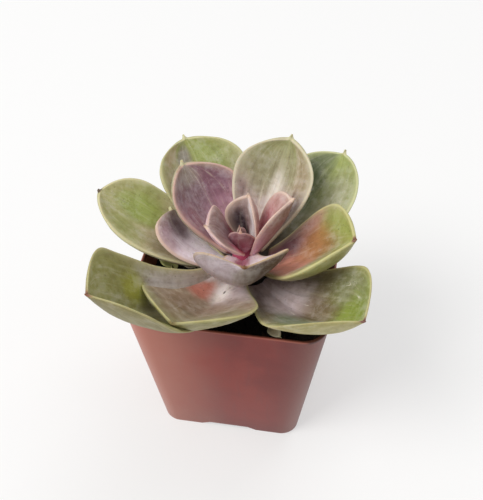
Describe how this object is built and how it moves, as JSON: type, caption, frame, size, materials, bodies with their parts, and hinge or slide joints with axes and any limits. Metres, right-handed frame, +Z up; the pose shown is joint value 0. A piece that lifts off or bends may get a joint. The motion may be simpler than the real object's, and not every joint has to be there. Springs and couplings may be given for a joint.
{
  "type": "potted succulent",
  "caption": "Rosette succulent with thick cupped green and mauve leaves, growing in soil in a small tapered square plastic nursery pot.",
  "frame": {"origin": "middle of the pot's flat underside", "axes": "+Z up along the pot's taper; -Y is the pot's front; X along the pot's front edge"},
  "size_m": [0.0732, 0.0741, 0.0714],
  "materials": {
    "pot_plastic": "terracotta-coloured moulded plastic, satin, with faint flow marks and dust",
    "potting_soil": "dark damp peat with small bark crumbs",
    "stem_skin": "dull brownish green stem skin",
    "leaf_green": "fleshy grey-green leaf with a powdery bloom, scuffs and a pale margin",
    "leaf_mauve": "fleshy mauve leaf with a powdery bloom and a pink to cream margin",
    "fresh_green": "pale yellow-green, soft and slightly translucent",
    "dried_leaf": "papery dried leaf skin"
  },
  "bodies": {
    "root": {"pot": "pot_plastic", "soil": "potting_soil", "stem": "stem_skin", "leaf_back": "leaf_green", "leaf_middle_right": "leaf_green", "leaf_middle_front_left": "leaf_green", "leaf_outer_back_right": "leaf_green", "leaf_outer_back_left": "leaf_green", "leaf_outer_left": "leaf_green", "leaf_outer_front_right": "leaf_green", "leaf_outer_front_left": "leaf_green", "leaf_heart": "leaf_mauve", "leaf_bud_front": "leaf_mauve", "leaf_inner_back": "leaf_mauve", "leaf_inner_right": "leaf_mauve", "leaf_inner_left": "leaf_mauve", "leaf_middle_front": "leaf_mauve", "leaf_middle_back_left": "leaf_mauve", "leaf_middle_left": "leaf_mauve", "fallen_leaf_piece": "fresh_green", "sprout": "fresh_green", "dried_leaf_left": "dried_leaf", "dried_leaf_front": "dried_leaf"}
  },
  "joints": []
}
